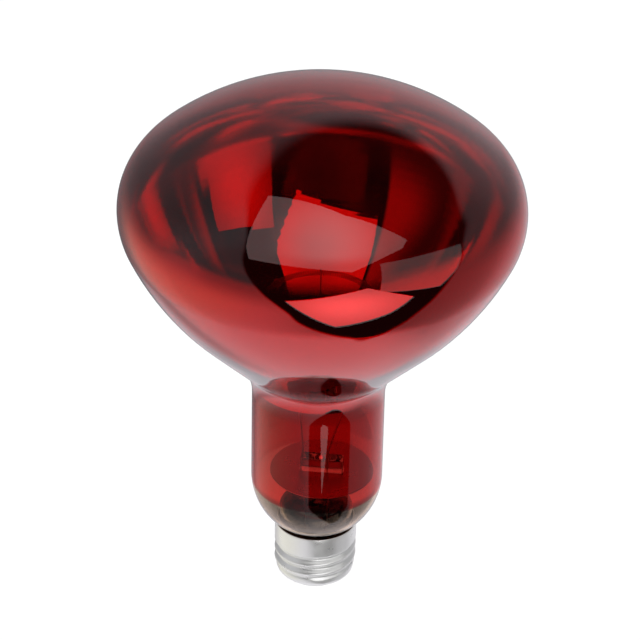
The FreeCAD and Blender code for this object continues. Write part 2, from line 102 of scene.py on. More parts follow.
class HeatLampStemSizes(bpy.types.PropertyGroup):
    """Stem, exhaust tube, bead and filament."""

    wall: length("Glass of the stem", 1.0)
    rim_radius: length("Foot of the flared skirt", 9.9)
    rim_thickness: length("Glass below the seal height", 1.0)
    skirt_rise: length("Straight foot of the skirt", 6.5)
    flare_radius: length("First arc of the skirt", 7.0)
    flare_turn: degrees("Turn of that arc", 35.0)
    shoulder_radius: length("Second arc of the skirt", 4.6)
    shoulder_turn: degrees("Turn of that arc", 110.0)
    foot_radius: length("Hollow arc into the tube", 3.4)
    tube_rise: length("Straight tube above the skirt", 1.2)
    press_shift: length("How far the press stands to the right", 1.6)
    press_width: length("Width of the flattened press", 13.8)
    press_depth: length("Depth of the flattened press", 4.8)
    press_blend: length("Height from round tube to flat press", 4.6)
    press_height: length("Height of the flat press", 6.6)
    press_turn: degrees("Turn of the press about the axis", -7.0)
    exhaust_radius: length("Radius of the exhaust tube", 2.2)
    exhaust_wall: length("Glass of the exhaust tube", 0.8)
    exhaust_tip: length("Height of the tipped-off end", 13.6)
    ring_radius: length("Radius of the filament's ring", 17.0)
    ring_height: length("Height of the filament's ring", 106.63)
    ring_end_x: length("Half of the ring's opening at the front", 9.5)
    coil_radius: length("Outer radius of the coiled wire", 0.9)
    coil_wire: length("Radius of the wire itself", 0.11)
    coil_pitch: length("Distance between the coil's turns", 0.75)


class HeatLampCapSizes(bpy.types.PropertyGroup):
    """Screw shell, insulator and centre contact."""

    crest_radius: length("Crest of the rolled thread", 13.12)
    root_radius: length("Root of the rolled thread", 12.05)
    pitch: length("Rise of the thread for each turn", 3.62)
    thread_start: length("Height where the thread starts", 7.9)
    thread_end: length("Height where the thread ends", 19.3)
    thread_fade: length("Height over which the thread dies away", 2.4)
    first_turn: amount("How far round the first crest lies, in turns", 0.845, high=1.0)
    collar_radius: length("Plain band above the thread", 13.15)
    collar_top: length("Upper rim of the shell", 25.0)
    foot_radius: length("Radius where the shell starts to curl in", 12.5)
    curl_radius: length("Arc of the curled lower end", 2.6)
    curl_turn: degrees("Turn of the curl", 80.0)
    rim_round: length("Rounding of the upper rim", 0.12)
    wall: length("Sheet thickness", 0.3)


class HeatLampFinish(bpy.types.PropertyGroup):
    """Colours of the lamp's own pieces, and of the studio."""

    red_coat: colour("What the coat lets through on the head", (0.77, 0.042, 0.034))
    # painted shade: the neck's coat is a darker copy of the head's red
    painted_shade_neck_coat: colour("What the coat lets through on the neck", (0.74, 0.040, 0.034))
    bare_glass: colour("Glass below the coat's edge", (0.84, 0.71, 0.60))
    stem_glass: colour("Clear glass inside", (0.90, 0.89, 0.86))
    # the stem's glass is darker in its skirt
    darker_skirt_glass: colour("Darkened glass of the stem's skirt", (0.34, 0.27, 0.24))
    mirror: colour("Aluminium film", (0.88, 0.86, 0.85))
    shield: colour("Rolled sheet of the heat shield", (0.62, 0.60, 0.62))
    nickel: colour("Lead wires", (0.50, 0.48, 0.46))
    drawn_wire: colour("Filament supports", (0.40, 0.39, 0.40))
    copper: colour("Seal wires and outer leads", (0.72, 0.42, 0.30))
    tungsten: colour("Filament", (0.33, 0.33, 0.34))
    cap: colour("Satin aluminium of the shell", (0.82, 0.82, 0.81))
    black_glass: colour("Insulator", (0.012, 0.012, 0.014))
    brass: colour("Centre contact", (0.78, 0.60, 0.30))
    solder: colour("Solder", (0.66, 0.66, 0.67))
    cement: colour("Baked cement", (0.16, 0.11, 0.08))
    coat_edge: length("Height of the coat's lower edge", 41.0)
    # painted shade: heights between which the neck's darker red fades into the head's
    neck_shade_top: length("Height where the neck's coat starts to thin", 63.6)
    neck_shade_end: length("Height where the head's coat starts", 89.6)
    # painted shade: below these heights the neck's left side reflects less, keeping only this share of its
    # gloss
    shaded_reflection_top: length("Height where the neck's dull left side ends", 74.0)
    unshaded_reflection_start: length("Height where the coat is glossy all round", 90.0)
    shaded_reflection_share: amount("Share of the gloss left on the dull side", 0.3, high=1.0)
    film_fade: length("Where the film starts to fade, above the widest place", 4.0)
    film_blur: amount("Extra roughness of the film near the widest place", 0.13, high=1.0)
    edge_softness: length("Softness of the coat's lower edge and of the film's upper one", 0.5)
    floor: colour("Plain pale floor", (0.90, 0.90, 0.90))
    dark_room: colour("Unlit part of the studio seen by reflection", (0.012, 0.010, 0.012))


class HeatLampStudio(bpy.types.PropertyGroup):
    """Camera, floor and light."""

    camera_distance: length("From the lens to the widest place's centre", 1000.0)
    camera_elevation: degrees("Height of the camera above the horizon", 30.0)
    camera_pitch: degrees("Tilt of the camera, 0 looks straight down", 58.05)
    camera_roll: degrees("Roll about the line of sight", 1.249)
    lens: FloatProperty(description="Focal length on a 36 mm sensor", default=184.97, min=10.0, max=400.0,
                        subtype="DISTANCE_CAMERA", unit="CAMERA")
    aim_height: length("Height of the widest place's centre", 139.83)
    floor_drop: length("How far the floor lies below the lamp", 300.0)
    sky_light: amount("Strength of the even light on matt surfaces", 0.92)
    floor_lift: amount("Light that the floor gives off by itself", 0.16)
    overhead: amount("Brightness of the overhead softbox", 1.1)
    side: amount("Brightness of the side softbox", 0.75)
    front: amount("Brightness of the front softbox", 1.2)
    wall_tint: colour("Tint of the walls seen by reflection", (0.95, 0.95, 1.0))
    warm_floor: colour("Tint of the floor on the left", (1.0, 0.97, 0.80))
    cool_floor: colour("Tint of the floor on the right", (0.96, 0.94, 1.0))


# Outlines and skins

def outline(start, heading, moves, offset=0.0, step=math.radians(2.0)):
    """Points (radius, height) along straight runs and tangent arcs in the half plane beside the axis.

    Each move is ("line", length) or ("arc", radius, turn), with turn positive to the left. Every point lies
    offset to the right of the path, so a wall's inner face runs parallel to its outer one.
    """
    angle = heading
    spot = np.array(start, float)
    rows = [spot + offset * np.array([math.sin(angle), -math.cos(angle)])]
    for kind, *sizes in moves:
        if kind == "line":
            spot = spot + sizes[0] * np.array([math.cos(angle), math.sin(angle)])
            rows.append(spot + offset * np.array([math.sin(angle), -math.cos(angle)]))
            continue
        radius, turn = sizes
        reach = math.copysign(radius, turn)
        centre = spot + reach * np.array([-math.sin(angle), math.cos(angle)])
        pieces = max(3, int(math.ceil(abs(turn) / step)))
        angles = angle + turn * np.arange(1, pieces + 1) / pieces
        right = np.stack([np.sin(angles), -np.cos(angles)], axis=1)
        path = centre + reach * right
        rows.extend(path + offset * right)
        spot = path[-1]
        angle = angle + turn
    return np.array(rows)


def spread(points, spacing):
    """Adds points to the straight runs of an outline, so that no gap is longer than spacing."""
    rows = [points[:1]]
    for before, after in zip(points[:-1], points[1:]):
        count = max(1, int(math.ceil(np.linalg.norm(after - before) / spacing)))
        share = np.arange(1, count + 1)[:, None] / count
        rows.append(before + (after - before) * share)
    return np.concatenate(rows)


def skin(name, points, closed=False, crease=40.0):
    """A mesh over a grid of points[row, column], which wraps round along its columns.

    The rows wrap round too if closed is set. A row whose points all coincide becomes one pole. Faces point
    outwards: their order is turned round if the enclosed volume comes out negative.
    """
    rows, columns = points.shape[:2]
    pole = np.ptp(points, axis=1).max(axis=1) < 1e-9
    counts = np.where(pole, 1, columns)
    first = np.concatenate(([0], np.cumsum(counts)[:-1]))
    ids = first[:, None] + np.where(pole[:, None], 0, np.arange(columns)[None, :])
    keep = ~pole[:, None] | (np.arange(columns)[None, :] == 0)
    vertices = points[keep]
    upper, lower = ids, np.roll(ids, -1, axis=0)
    if not closed:
        upper, lower = upper[:-1], lower[:-1]
    faces = np.stack([upper, np.roll(upper, -1, axis=1), np.roll(lower, -1, axis=1), lower], axis=-1)
    faces = faces.reshape(-1, 4)
    top_pole = faces[:, 0] == faces[:, 1]
    bottom_pole = faces[:, 2] == faces[:, 3]
    quads = faces[~top_pole & ~bottom_pole]
    triangles = np.concatenate([faces[top_pole][:, [0, 2, 3]], faces[bottom_pole][:, [0, 1, 2]]])
    halves = np.concatenate([quads[:, [0, 1, 2]], quads[:, [0, 2, 3]], triangles])
    a, b, c = (vertices[halves[:, k]] for k in range(3))
    if np.einsum("ij,ij->i", a, np.cross(b, c)).sum() < 0:
        quads = quads[:, ::-1]
        triangles = triangles[:, ::-1]
    mesh = bpy.data.meshes.new(name)
    mesh.vertices.add(len(vertices))
    mesh.vertices.foreach_set("co", vertices.astype(np.float32).ravel())
    corners = np.concatenate([quads.ravel(), triangles.ravel()]).astype(np.int32)
    sizes = np.concatenate([np.full(len(quads), 4), np.full(len(triangles), 3)]).astype(np.int32)
    starts = (np.cumsum(sizes) - sizes).astype(np.int32)
    mesh.loops.add(len(corners))
    mesh.loops.foreach_set("vertex_index", corners)
    mesh.polygons.add(len(sizes))
    mesh.polygons.foreach_set("loop_start", starts)
    mesh.polygons.foreach_set("use_smooth", np.ones(len(sizes), bool))
    mesh.update(calc_edges=True)
    mesh.validate()
    mesh.set_sharp_from_angle(angle=math.radians(crease))
    piece = bpy.data.objects.new(name, mesh)
    bpy.context.scene.collection.objects.link(piece)
    return piece


def turned(profile, columns):
    """Grid of a turned form: each profile point (radius, height) goes once round the axis."""
    turn = np.linspace(0, 2 * math.pi, columns, endpoint=False)
    radius = profile[:, 0][:, None]
    grid = np.empty((len(profile), columns, 3))
    grid[..., 0] = radius * np.cos(turn)
    grid[..., 1] = radius * np.sin(turn)
    grid[..., 2] = profile[:, 1][:, None]
    return grid


def flat_shape(name, corners):
    """A flat sheet with the given corners, for a softbox or a card of the studio."""
    mesh = bpy.data.meshes.new(name)
    mesh.from_pydata([tuple(corner) for corner in corners], [], [tuple(range(len(corners)))])
    piece = bpy.data.objects.new(name, mesh)
    bpy.context.scene.collection.objects.link(piece)
    return piece


def add_piece(piece, material, replaced):
    """Gives a piece its finish, lets it ride with the lamp and stand for the node that it replaces."""
    piece.data.materials.append(material)
    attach(piece, "root")
    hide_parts(replaced)


# Finishes

def new_material(name):
    material = bpy.data.materials.new(name)
    material.use_nodes = True
    material.node_tree.nodes.clear()
    return material, material.node_tree


def node(tree, kind, sockets=None, **settings):
    """Adds a node. A socket takes a value, or another node's output to link from."""
    made = tree.nodes.new(kind)
    for key, value in settings.items():
        setattr(made, key, value)
    for key, value in (sockets or {}).items():
        if isinstance(value, bpy.types.NodeSocket):
            tree.links.new(value, made.inputs[key])
        else:
            made.inputs[key].default_value = value
    return made


def place(tree, scale=(1.0, 1.0, 1.0)):
    """Position on the piece in metres, stretched by scale."""
    where = node(tree, "ShaderNodeTexCoord").outputs["Object"]
    return node(tree, "ShaderNodeMapping", {"Vector": where, "Scale": scale}).outputs["Vector"]


def grain(tree, scale, detail=2.0, rough=0.5, stretch=(1.0, 1.0, 1.0)):
    """Even noise from 0 to 1, fixed to the piece."""
    return node(tree, "ShaderNodeTexNoise", {"Vector": place(tree, stretch), "Scale": scale, "Detail": detail,
                                             "Roughness": rough}).outputs["Fac"]


def ramp(tree, value, low, high, start, end, smooth=True):
    """Maps a value from low..high to start..end and holds it beyond both."""
    mapped = node(tree, "ShaderNodeMapRange", {"Value": value, "From Min": low, "From Max": high,
                                               "To Min": start, "To Max": end},
                  interpolation_type="SMOOTHSTEP" if smooth else "LINEAR")
    return mapped.outputs["Result"]


def calc(tree, operation, first, second=0.0):
    return node(tree, "ShaderNodeMath", {0: first, 1: second}, operation=operation).outputs["Value"]


def product(tree, first, *others):
    for other in others:
        first = calc(tree, "MULTIPLY", first, other)
    return first


def vector_math(tree, operation, first, second=(0.0, 0.0, 0.0)):
    """Output of a vector calculation: one number for a dot product or a distance, else a vector."""
    made = node(tree, "ShaderNodeVectorMath", {0: first, 1: second}, operation=operation)
    return made.outputs["Value" if operation in ("DOT_PRODUCT", "DISTANCE") else "Vector"]


def axes(tree, vector):
    """The x, y and z of a vector."""
    parts = node(tree, "ShaderNodeSeparateXYZ", {"Vector": vector}).outputs
    return parts["X"], parts["Y"], parts["Z"]


def through_glass(tree):
    """1 for what is seen through glass, so also in the mirror behind it, and 0 for the rest."""
    depth = node(tree, "ShaderNodeLightPath").outputs["Transmission Depth"]
    return ramp(tree, depth, 0.0, 1.0, 0.0, 1.0, smooth=False)


def waver(tree, scale, rise, reach):
    """A slow change either way, reach from end to end, for an edge that isn't quite straight."""
    cloud = grain(tree, scale, 2.0, stretch=(1, 1, rise))
    return product(tree, calc(tree, "SUBTRACT", cloud, 0.5), reach)


def bump(tree, strength, depth, height):
    """Normal of a surface that is raised by height, at most by depth in millimetres."""
    made = node(tree, "ShaderNodeBump", {"Strength": strength, "Distance": depth * MM, "Height": height})
    return made.outputs["Normal"]


def scaled(tint, share):
    return tuple(min(1.0, part * share) for part in tint)


def blend(tree, share, first, second):
    """Mix of two colours."""
    mixed = node(tree, "ShaderNodeMix", data_type="RGBA")
    for key, value in ((0, share), (6, first), (7, second)):
        if isinstance(value, bpy.types.NodeSocket):
            tree.links.new(value, mixed.inputs[key])
        elif key == 0:
            mixed.inputs[key].default_value = value
        else:
            mixed.inputs[key].default_value = (*value[:3], 1.0)
    return mixed.outputs[2]


def output(tree, shader):
    node(tree, "ShaderNodeOutputMaterial", {"Surface": shader})


def glass_output(tree, see, normal, sockets=None):
    """Glass that lets see through one wall. Its shadow is tinted by the root of see, and so is soft."""
    shader = node(tree, "ShaderNodeBsdfPrincipled", {
        "Base Color": see, "Roughness": 0.0, "IOR": 1.5, "Transmission Weight": 1.0, "Normal": normal,
        **(sockets or {})})
    tint = node(tree, "ShaderNodeGamma", {"Color": see, "Gamma": 0.5}).outputs["Color"]
    clear = node(tree, "ShaderNodeBsdfTransparent", {"Color": tint}).outputs["BSDF"]
    path = node(tree, "ShaderNodeLightPath").outputs["Is Shadow Ray"]
    mixed = node(tree, "ShaderNodeMixShader", {0: path, 1: shader.outputs["BSDF"], 2: clear})
    output(tree, mixed.outputs["Shader"])


def solid_output(tree, shade, gloss, normal, metallic):
    shader = node(tree, "ShaderNodeBsdfPrincipled", {
        "Base Color": shade, "Metallic": metallic, "Roughness": gloss, "Normal": normal})
    output(tree, shader.outputs["BSDF"])


def polar_curve(tree, angle, marks):
    """A value that follows marks of (degrees, value) round a full turn of angle, given in radians."""
    share = ramp(tree, angle, -math.pi, math.pi, 0.0, 1.0, smooth=False)
    marks = sorted(marks)
    marks = [(marks[-1][0] - 360, marks[-1][1])] + marks + [(marks[0][0] + 360, marks[0][1])]
    turns, values = np.array(marks, float).T
    inner = [pair for pair in marks if -180 < pair[0] < 180]
    ends = [(edge, float(np.interp(edge, turns, values))) for edge in (-180, 180)]
    curve = node(tree, "ShaderNodeFloatCurve", {"Value": share})
    points = curve.mapping.curves[0].points
    points[0].location = (0.0, ends[0][1])
    points[1].location = (1.0, ends[1][1])
    for turn, value in inner:
        points.new((turn + 180) / 360, value)
    for point in points:
        point.handle_type = "AUTO_CLAMPED"
    curve.mapping.update()
    return curve.outputs["Value"]


def outer_side(tree, equator):
    """1 on the outer surface of the envelope and 0 on its inner one, from the way that its faces point."""
    x, y, z = axes(tree, place(tree))
    rise = calc(tree, "MAXIMUM", calc(tree, "SUBTRACT", z, equator), 0.0)
    outwards = node(tree, "ShaderNodeCombineXYZ", {"X": x, "Y": y, "Z": rise}).outputs["Vector"]
    face = node(tree, "ShaderNodeNewGeometry").outputs
    flip = calc(tree, "SUBTRACT", 1.0, product(tree, face["Backfacing"], 2.0))
    along = product(tree, vector_math(tree, "DOT_PRODUCT", face["Normal"], outwards), flip)
    return calc(tree, "GREATER_THAN", along, 0.0)


def coated_glass(finish, equator):
    """Blown glass with a red coat on its outer side: darker on the neck as painted shade, none near the cap.

    A surface lets the root of its colour through, so the coat's colour is squared there, and the inner side
    is white. The neck's left side reflects less: painted shade on its reflection.
    """
    material, tree = new_material("red_coated_glass")
    x, _, height = axes(tree, place(tree))
    # painted shade: the neck and throat get a darker copy of the head's red coat
    neck_shade_fade = ramp(tree, height, finish.neck_shade_top, finish.neck_shade_end, 0.0, 1.0)
    neck_shaded_coat = blend(tree, neck_shade_fade, finish.painted_shade_neck_coat, finish.red_coat)
    patches = ramp(tree, grain(tree, 26.0, 3.0), 0.35, 0.7, 0.0, 0.12)
    uneven = blend(tree, patches, neck_shaded_coat, scaled(finish.red_coat, 0.8))
    line = calc(tree, "ADD", height, waver(tree, 45.0, 0.2, 2.2 * MM))
    low, high = finish.coat_edge - finish.edge_softness, finish.coat_edge + finish.edge_softness
    see = blend(tree, ramp(tree, line, low, high, 0.0, 1.0), finish.bare_glass, uneven)
    coat = node(tree, "ShaderNodeGamma", {"Color": see, "Gamma": 2.0}).outputs["Color"]
    wall = blend(tree, outer_side(tree, equator), WHITE, coat)
    streaks = grain(tree, 60.0, 2.0, stretch=(1, 1, 0.12))
    # painted shade: the Specular Tint darkens the reflection on the neck's left side
    right = ramp(tree, ramp(tree, x, -8 * MM, 2 * MM, 0.0, 1.0), 0.0, 1.0, finish.shaded_reflection_share, 1.0)
    head = ramp(tree, height, finish.shaded_reflection_top, finish.unshaded_reflection_start, finish.shaded_reflection_share, 1.0)
    painted_shade_gloss = blend(tree, calc(tree, "MAXIMUM", head, right), BLACK, WHITE)
    glass_output(tree, see, bump(tree, 0.03, 0.05, streaks), {"Base Color": wall, "Specular Tint": painted_shade_gloss})
    return material


def clear_glass(finish):
    """Clear drawn glass with faint striae, darkened in the skirt of the stem."""
    material, tree = new_material("clear_stem_glass")
    striae = grain(tree, 120.0, 2.0, stretch=(1, 1, 0.2))
    see = blend(tree, striae, finish.stem_glass, scaled(finish.stem_glass, 0.94))
    height = axes(tree, place(tree))[2]
    # the glass is darker below 34 to 38 mm, in the stem's skirt
    see = blend(tree, ramp(tree, height, 34 * MM, 38 * MM, 0.0, 1.0), finish.darker_skirt_glass, see)
    glass_output(tree, see, bump(tree, 0.08, 0.1, grain(tree, 400.0, 2.0, stretch=(1, 1, 0.1))))
    return material


def metal(name, tint, roughness, scale, strength=0.1, depth=0.02):
    """Bare metal with cloudy colour, uneven gloss and a fine grain."""
    material, tree = new_material(name)
    cloud = grain(tree, scale, 4.0)
    gloss = ramp(tree, cloud, 0.3, 0.7, roughness * 0.8, min(1.0, roughness * 1.25), smooth=False)
    shade = blend(tree, cloud, scaled(tint, 0.88), tint)
    solid_output(tree, shade, gloss, bump(tree, strength, depth, cloud), 1.0)
    return material


def mirror_film(finish, equator, edge):
    """Deposited aluminium: sharp at the back, duller towards the widest place, and fading below its edge.

    Only its inner side gets duller, because the outer one is seen through the glass that it lies on.
    """
    material, tree = new_material("mirror_film")
    height = axes(tree, place(tree))[2]
    line = calc(tree, "ADD", height, waver(tree, 18.0, 0.3, 2.0 * MM))
    cover = ramp(tree, line, equator + finish.film_fade, edge - finish.edge_softness, 1.0, 0.0)
    haze = grain(tree, 40.0, 3.0)
    blur = ramp(tree, height, equator - 26.0 * MM, equator - 4.0 * MM, 0.0, finish.film_blur)
    outwards = vector_math(tree, "MULTIPLY", place(tree), (1.0, 1.0, 0.0))
    normal = node(tree, "ShaderNodeNewGeometry").outputs["Normal"]
    inner_side = calc(tree, "LESS_THAN", vector_math(tree, "DOT_PRODUCT", outwards, normal), 0.0)
    gloss = calc(tree, "ADD", ramp(tree, haze, 0.35, 0.75, 0.01, 0.03), product(tree, blur, inner_side))
    shader = node(tree, "ShaderNodeBsdfPrincipled", {
        "Base Color": blend(tree, haze, finish.mirror, scaled(finish.mirror, 0.96)), "Metallic": 1.0,
        "Roughness": gloss, "Alpha": cover})
    output(tree, shader.outputs["BSDF"])
    return material


def dull(name, tint, roughness, scale, strength):
    """Matt or glossy body colour with fine grain."""
    material, tree = new_material(name)
    cloud = grain(tree, scale, 5.0, 0.6)
    shade = blend(tree, cloud, scaled(tint, 0.75), scaled(tint, 1.25))
    gloss = ramp(tree, cloud, 0.3, 0.7, roughness * 0.8, min(1.0, roughness * 1.2), smooth=False)
    solid_output(tree, shade, gloss, bump(tree, strength, 0.05, cloud), 0.0)
    return material


def cap_aluminium(finish):
    """Satin rolled aluminium with fine rings left by the rolls and a few dull spots."""
    material, tree = new_material("satin_cap_aluminium")
    rings = grain(tree, 900.0, 3.0, stretch=(0.03, 0.03, 1.0))
    cloud = grain(tree, 220.0, 4.0)
    gloss = ramp(tree, cloud, 0.3, 0.7, 0.27, 0.38)
    solid_output(tree, blend(tree, cloud, scaled(finish.cap, 0.9), finish.cap), gloss,
                 bump(tree, 0.12, 0.02, rings), 0.72)
    return material


def glow(name, brightness, middle, reach, peak, mirrored, ceiling):
    """Light of a softbox that changes to peak times its brightness within reach of its middle.

    Seen through glass, so also in the mirror, the middle has mirrored times its brightness instead, and
    the softbox ends at the height ceiling. A peak of 0 shows the softbox only there.
    """
    material, tree = new_material(name)
    seen = through_glass(tree)
    away = vector_math(tree, "DISTANCE", place(tree), tuple(middle))
    centre_light = ramp(tree, seen, 0.0, 1.0, brightness * peak, brightness * mirrored, smooth=False)
    falloff = ramp(tree, away, 0.0, reach, centre_light, brightness)
    light = node(tree, "ShaderNodeEmission", {"Strength": falloff}).outputs["Emission"]
    lower = ramp(tree, axes(tree, place(tree))[2], ceiling - 0.1, ceiling + 0.1, 1.0, 0.0)
    shown = ramp(tree, seen, 0.0, 1.0, 1.0 if peak else 0.0, lower, smooth=False)
    clear = node(tree, "ShaderNodeBsdfTransparent").outputs["BSDF"]
    output(tree, node(tree, "ShaderNodeMixShader", {0: shown, 1: clear, 2: light}).outputs["Shader"])
    return material


# Operators, one for each piece or group of like pieces

class PieceOperator:
    """What the operators share: each one builds its piece in the scene and can be undone."""

    bl_options = {"REGISTER", "UNDO"}

    def execute(self, context):
        self.build(context.scene)
        return {"FINISHED"}


def glass_outline(glass, offset=0.0):
    """The envelope's outline from the apex to the sealed end, offset inwards.

    Its moves down to the end of the cone, and the heights of the apex and of the widest place, come with it.
    """
    shoulder_top = glass.head_radius - glass.shoulder_radius * (1 - math.cos(glass.shoulder_turn))
    crown_turn = math.pi / 2 - glass.shoulder_turn
    crown_radius = shoulder_top / math.sin(crown_turn)
    cone = glass.cheek_turn + glass.back_turn
    back_end = (glass.head_radius - glass.cheek_radius * (1 - math.cos(glass.cheek_turn))
                - glass.back_radius * (math.cos(glass.cheek_turn) - math.cos(cone)))
    cone_end = glass.neck_radius + glass.throat_radius * (1 - math.cos(cone))
    cone_length = (back_end - cone_end) / math.sin(cone)
    bowl_turn = math.acos(1 - (glass.neck_radius - glass.bowl_end_radius) / glass.bowl_radius)
    waist_radius = (glass.bowl_end_radius - glass.seal_radius) / (1 - math.cos(bowl_turn))
    face = [("arc", crown_radius, -crown_turn), ("arc", glass.shoulder_radius, -glass.shoulder_turn)]
    back = [("arc", glass.cheek_radius, -glass.cheek_turn), ("arc", glass.back_radius, -glass.back_turn),
            ("line", cone_length)]
    neck = [("arc", glass.throat_radius, cone), ("line", glass.neck_length),
            ("arc", glass.bowl_radius, -bowl_turn), ("arc", waist_radius, bowl_turn),
            ("line", glass.seal_length)]
    moves = face + back + neck
    apex = glass.seal_height - outline((0, 0), 0.0, moves)[-1][1]
    equator = apex + outline((0, 0), 0.0, face)[-1][1]
    return outline((0, apex), 0.0, moves, offset), face + back, apex, equator


class HEATLAMP_OT_envelope(PieceOperator, bpy.types.Operator):
    """Blown envelope: one wall of glass from the domed face to the end sealed in the cap."""

    bl_idname = "heatlamp.envelope"
    bl_label = "Glass envelope"

    def build(self, scene):
        glass = scene.heatlamp_glass
        outline_points, _, _, equator = glass_outline(glass)
        outer = spread(outline_points, 2.0 * MM)
        inner = spread(glass_outline(glass, glass.wall)[0], 2.0 * MM)
        inner[0, 0] = 0.0
        profile = np.concatenate([outer, inner[::-1]])
        piece = skin("glass_envelope_blown", turned(profile, glass.columns), crease=60.0)
        add_piece(piece, coated_glass(scene.heatlamp_finish, equator), "glass_envelope")


class HEATLAMP_OT_mirror(PieceOperator, bpy.types.Operator):
    """Mirror film: a thin band parallel to the glass, from below the widest place into the throat."""

    bl_idname = "heatlamp.mirror"
    bl_label = "Mirror film"

    def build(self, scene):
        glass = scene.heatlamp_glass
        path, apex, equator = glass_outline(glass)[1:]
        moves = path + [("arc", glass.throat_radius, glass.film_throat_turn)]
        near = glass.wall + glass.film_gap
        top = equator + glass.film_above_equator
        faces = []
        for offset in (near, near + glass.film_thickness):
            points = spread(outline((0, apex), 0.0, moves, offset), 1.5 * MM)
            below = points[points[:, 1] < top]
            edge_radius = np.interp(-top, -points[:, 1], points[:, 0])
            faces.append(np.concatenate([[[edge_radius, top]], below]))
        profile = np.concatenate([faces[0], faces[1][::-1]])
        piece = skin("mirror_film_band", turned(profile, glass.columns), closed=True)
        film = mirror_film(scene.heatlamp_finish, equator, top)
        add_piece(piece, film, "mirror_film")


def stem_skirt(stem, seal_height, offset=0.0):
    """Outline of the stem from its rim up the flared skirt to the end of the round tube."""
    fall = stem.shoulder_turn - stem.flare_turn
    return outline((stem.rim_radius, seal_height), math.pi / 2, [
        ("line", stem.skirt_rise), ("arc", stem.flare_radius, -stem.flare_turn),
        ("arc", stem.shoulder_radius, stem.shoulder_turn), ("arc", stem.foot_radius, -fall),
        ("line", stem.tube_rise)], offset, math.radians(6))


class HEATLAMP_OT_stem(PieceOperator, bpy.types.Operator):
    """Stem glass: a flared skirt and tube that flatten into the press, with the exhaust tube below it.

    Each section is a superellipse. Its half-width, half-depth, exponent, shift and turn change smoothly
    from the round tube to the flat press.
    """

    bl_idname = "heatlamp.stem"
    bl_label = "Stem and exhaust tube"

    def build(self, scene):
        stem = scene.heatlamp_stem
        glass = scene.heatlamp_glass
        material = clear_glass(scene.heatlamp_finish)
        gap = 0.02 * MM
        columns = 96
        turn = np.linspace(0, 2 * math.pi, columns, endpoint=False)
        skirt = stem_skirt(stem, glass.seal_height)
        tube_radius, tube_top = skirt[-1]
        press_bottom = tube_top + stem.press_blend
        press_top = press_bottom + stem.press_height
        soft = 0.8 * MM
        share = np.linspace(0, 1, 13)[1:]
        ease = share * share * (3 - 2 * share)
        corner = np.linspace(0, math.pi / 2, 6)
        heights = np.concatenate([tube_top + share * stem.press_blend,
                                  np.linspace(press_bottom, press_top - soft, 5)[1:],
                                  press_top - soft + soft * np.sin(corner[1:]), [press_top]])
        flat = np.concatenate([ease, np.ones(4 + 5 + 1)])
        inset = np.concatenate([np.zeros(16), soft * (1 - np.cos(corner[1:])), [soft]])
        half_width = tube_radius + (stem.press_width / 2 - tube_radius) * flat - inset
        half_depth = tube_radius + (stem.press_depth / 2 - tube_radius) * flat - inset
        half_width[-1] = half_depth[-1] = 0.0
        power = 2.0 / (2.0 + 3.0 * flat)
        c, s = np.cos(turn)[None, :], np.sin(turn)[None, :]
        x = half_width[:, None] * np.sign(c) * np.abs(c) ** power[:, None]
        y = half_depth[:, None] * np.sign(s) * np.abs(s) ** power[:, None]
        twist = (stem.press_turn * flat)[:, None]
        upper = np.empty((len(heights), columns, 3))
        upper[..., 0] = x * np.cos(twist) - y * np.sin(twist) + (stem.press_shift * flat)[:, None]
        upper[..., 1] = x * np.sin(twist) + y * np.cos(twist)
        upper[..., 2] = heights[:, None]
        foot = glass.seal_height - stem.rim_thickness
        rim = [[glass.seal_radius, foot], [glass.seal_radius, glass.seal_height - gap],
               [stem.rim_radius, glass.seal_height]]
        outside = np.concatenate([rim, skirt[1:]])
        hollow = stem_skirt(stem, glass.seal_height, -stem.wall)
        bore = stem.exhaust_radius - stem.exhaust_wall
        tube_end = tube_top + stem.wall
        bore_end = tube_end + 1.8 * MM
        hole = [[0.0, bore_end], [bore, bore_end], [bore, tube_end], [hollow[-1, 0], tube_end]]
        inside = np.concatenate([hole, hollow[::-1], [[hollow[0, 0], foot]]])
        grid = np.concatenate([turned(spread(inside, 1.5 * MM), columns), turned(outside, columns), upper])
        add_piece(skin("stem_glass_blown", grid), material, "stem_glass")
        self.build_exhaust(stem, material, bore, tube_end, gap)

    def build_exhaust(self, stem, material, bore, tube_end, gap):
        """Exhaust tube with its tipped-off lower end, which is a rounded tip round a small flat."""
        radius, tip, flat = stem.exhaust_radius, stem.exhaust_tip, 0.4 * MM
        round_off = np.linspace(-math.pi / 2, 0, 10)
        dome = np.stack([(radius - flat) * np.cos(round_off) + flat,
                         tip + (radius - flat) * (1 + np.sin(round_off))], axis=1)
        dome[0, 0] = 0.0
        top = tube_end - gap
        drawn = np.concatenate([dome, [[radius, top], [bore, top], [bore, tip + 2.4 * MM]],
                                [[bore * 0.7, tip + 1.8 * MM], [0.0, tip + 1.6 * MM]]])
        tube = skin("exhaust_tube_drawn", turned(spread(drawn, 1.5 * MM), 64))
        add_piece(tube, material, "exhaust_tube")


